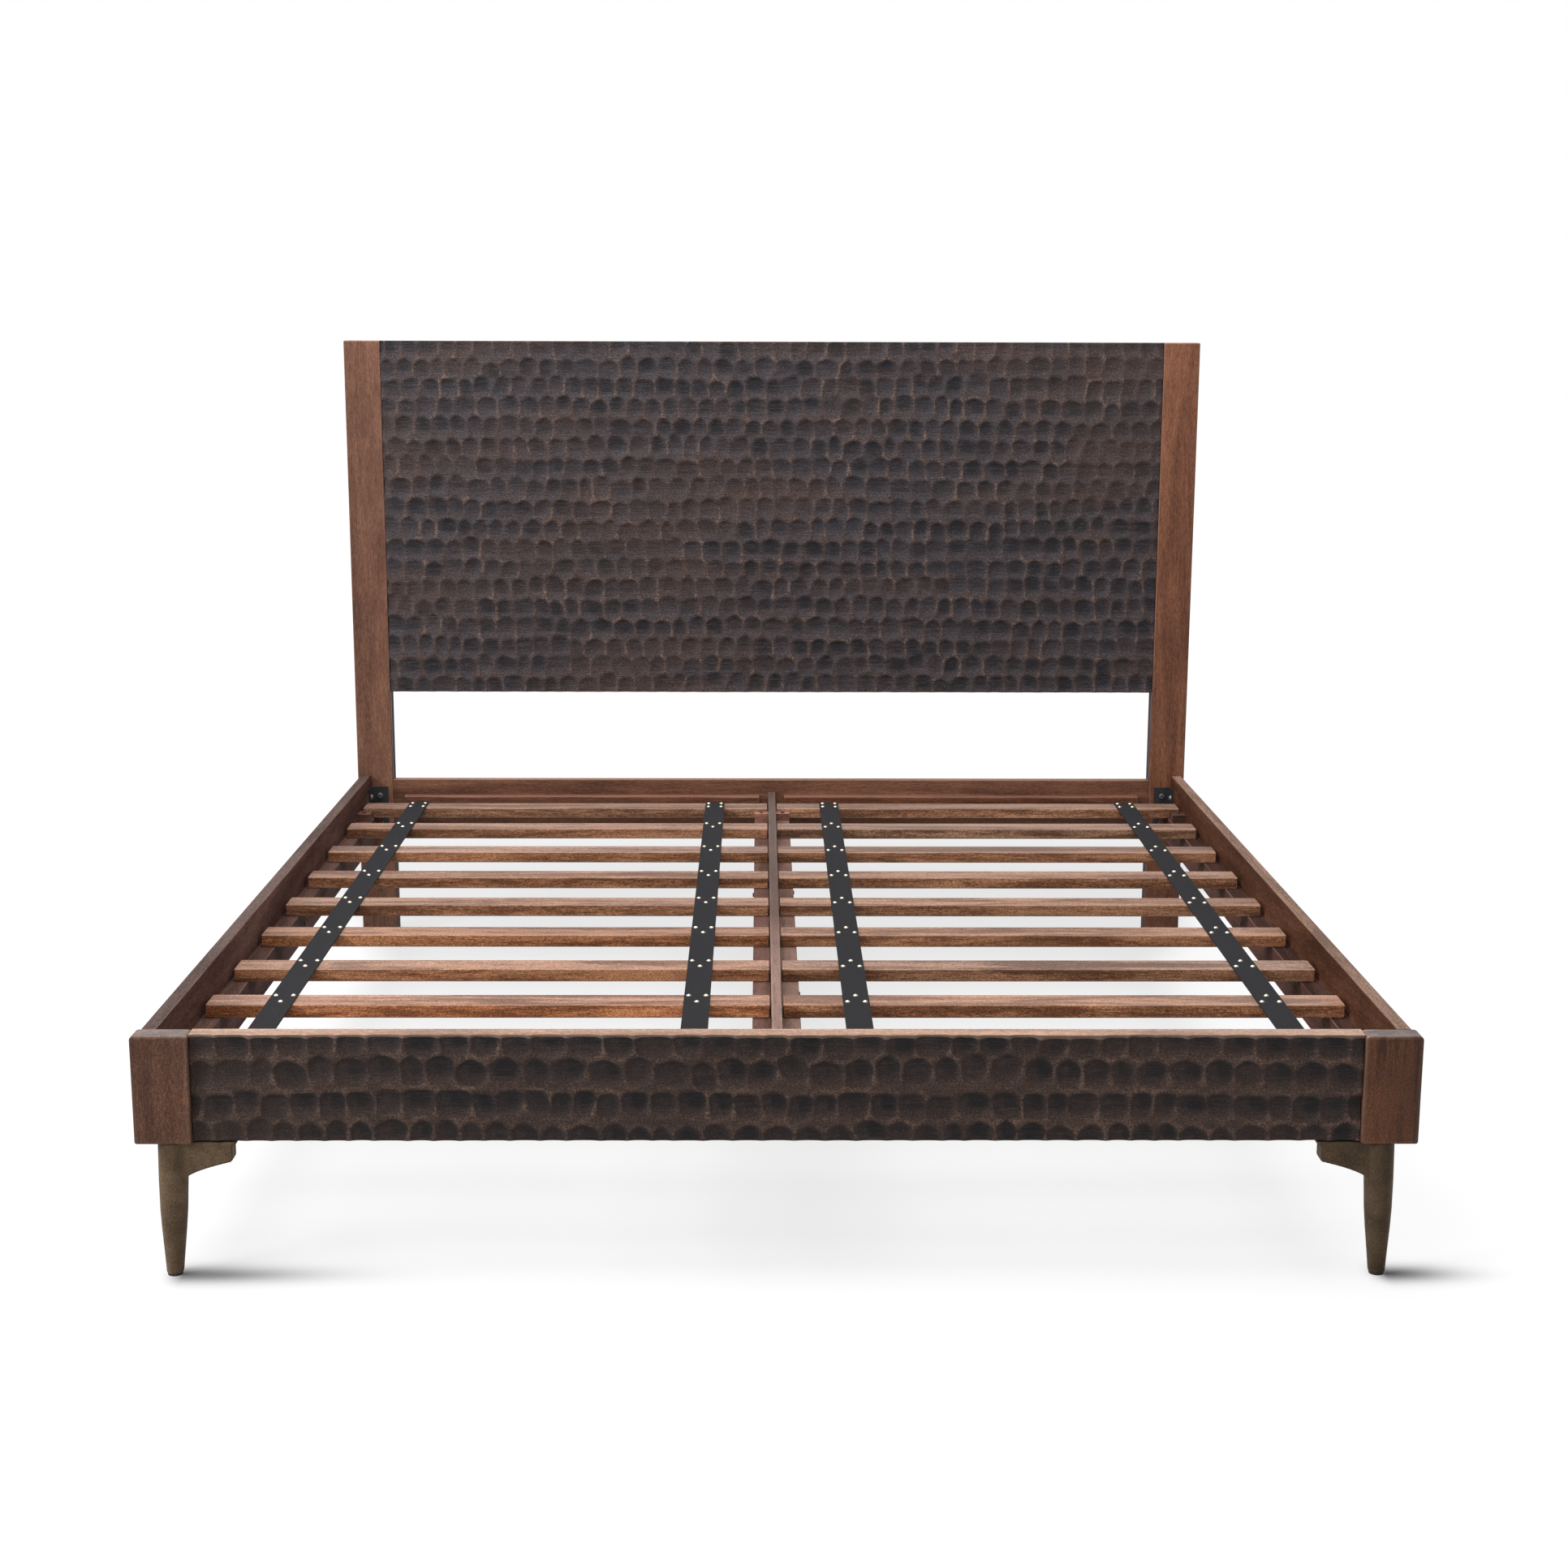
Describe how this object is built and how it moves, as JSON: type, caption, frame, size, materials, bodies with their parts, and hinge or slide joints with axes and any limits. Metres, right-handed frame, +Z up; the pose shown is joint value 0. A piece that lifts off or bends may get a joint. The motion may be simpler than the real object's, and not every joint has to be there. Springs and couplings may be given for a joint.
{
  "type": "bed frame",
  "caption": "Wooden bed frame with a carved headboard panel and foot rail, metal front legs, and strapped slats lying on ledgers and a centre beam.",
  "frame": {"origin": "on the floor under the middle of the bed's length and width", "axes": "+X to the right of a person who stands at the foot and looks at the headboard, +Y from the foot to the headboard, +Z up from the floor"},
  "size_m": [2.02, 2.134, 1.444],
  "materials": {
    "frame_wood": "satin stained reddish brown hardwood",
    "carved_wood": "hand-carved, near-black brown stain rubbed lighter on the ridges",
    "rail_wood": "satin stained brown hardwood",
    "slat_wood": "planed hardwood, light pinkish brown",
    "beam_wood": "planed hardwood, greyish purple brown",
    "hidden_wood": "sawn hardwood",
    "strap_webbing": "woven charcoal webbing",
    "nail_brass": "pale polished domes",
    "bracket_steel": "black powder coat",
    "cast_leg": "antique bronze over a grainy casting",
    "zinc_screw": "zinc plated",
    "glide": "matt black",
    "black_screw": "black phosphate"
  },
  "bodies": {
    "root": {"headboard_post_left": "frame_wood", "headboard_post_right": "frame_wood", "head_rail": "frame_wood", "foot_block_left": "frame_wood", "foot_block_right": "frame_wood", "headboard_panel": "carved_wood", "foot_rail": "carved_wood", "side_rail_left": "rail_wood", "side_rail_right": "rail_wood", "side_ledger_left": "rail_wood", "side_ledger_right": "rail_wood", "head_ledger_left": "rail_wood", "head_ledger_right": "rail_wood", "corner_gusset_left": "hidden_wood", "corner_gusset_right": "hidden_wood", "support_leg_head": "hidden_wood", "support_leg_foot": "hidden_wood", "front_leg_left": "cast_leg", "front_leg_right": "cast_leg", "floor_glides": "glide", "corner_bracket_head_left": "bracket_steel", "corner_bracket_head_right": "bracket_steel", "corner_bracket_foot_left": "bracket_steel", "corner_bracket_foot_right": "bracket_steel", "beam_hanger_head": "bracket_steel", "beam_hanger_foot": "bracket_steel", "leg_screws": "zinc_screw", "frame_bolts": "black_screw", "wood_screws": "black_screw", "centre_beam": "beam_wood", "stop_blocks": "beam_wood", "centre_cleat_left": "beam_wood", "centre_cleat_right": "beam_wood"},
    "slats_left": {"slat_left_1": "slat_wood", "slat_left_2": "slat_wood", "slat_left_3": "slat_wood", "slat_left_4": "slat_wood", "slat_left_5": "slat_wood", "slat_left_6": "slat_wood", "slat_left_7": "slat_wood", "slat_left_8": "slat_wood", "slat_left_9": "slat_wood", "strap_left_outer": "strap_webbing", "strap_left_inner": "strap_webbing", "strap_nails_left": "nail_brass"},
    "slats_right": {"slat_right_1": "slat_wood", "slat_right_2": "slat_wood", "slat_right_3": "slat_wood", "slat_right_4": "slat_wood", "slat_right_5": "slat_wood", "slat_right_6": "slat_wood", "slat_right_7": "slat_wood", "slat_right_8": "slat_wood", "slat_right_9": "slat_wood", "strap_right_inner": "strap_webbing", "strap_right_outer": "strap_webbing", "strap_nails_right": "nail_brass"},
    "leveller_head": {"leveller_head": "zinc_screw"},
    "leveller_foot": {"leveller_foot": "zinc_screw"}
  },
  "joints": [
    {"name": "slats_left_lift", "type": "slide", "parent": "root", "child": "slats_left", "axis": [0, 0, 1], "range_m": [0, 0.3]},
    {"name": "slats_right_lift", "type": "slide", "parent": "root", "child": "slats_right", "axis": [0, 0, 1], "range_m": [0, 0.3]},
    {"name": "leveller_head_screw", "type": "slide", "parent": "root", "child": "leveller_head", "axis": [0, 0, 1], "range_m": [0, 0.012]},
    {"name": "leveller_foot_screw", "type": "slide", "parent": "root", "child": "leveller_foot", "axis": [0, 0, 1], "range_m": [0, 0.012]}
  ]
}
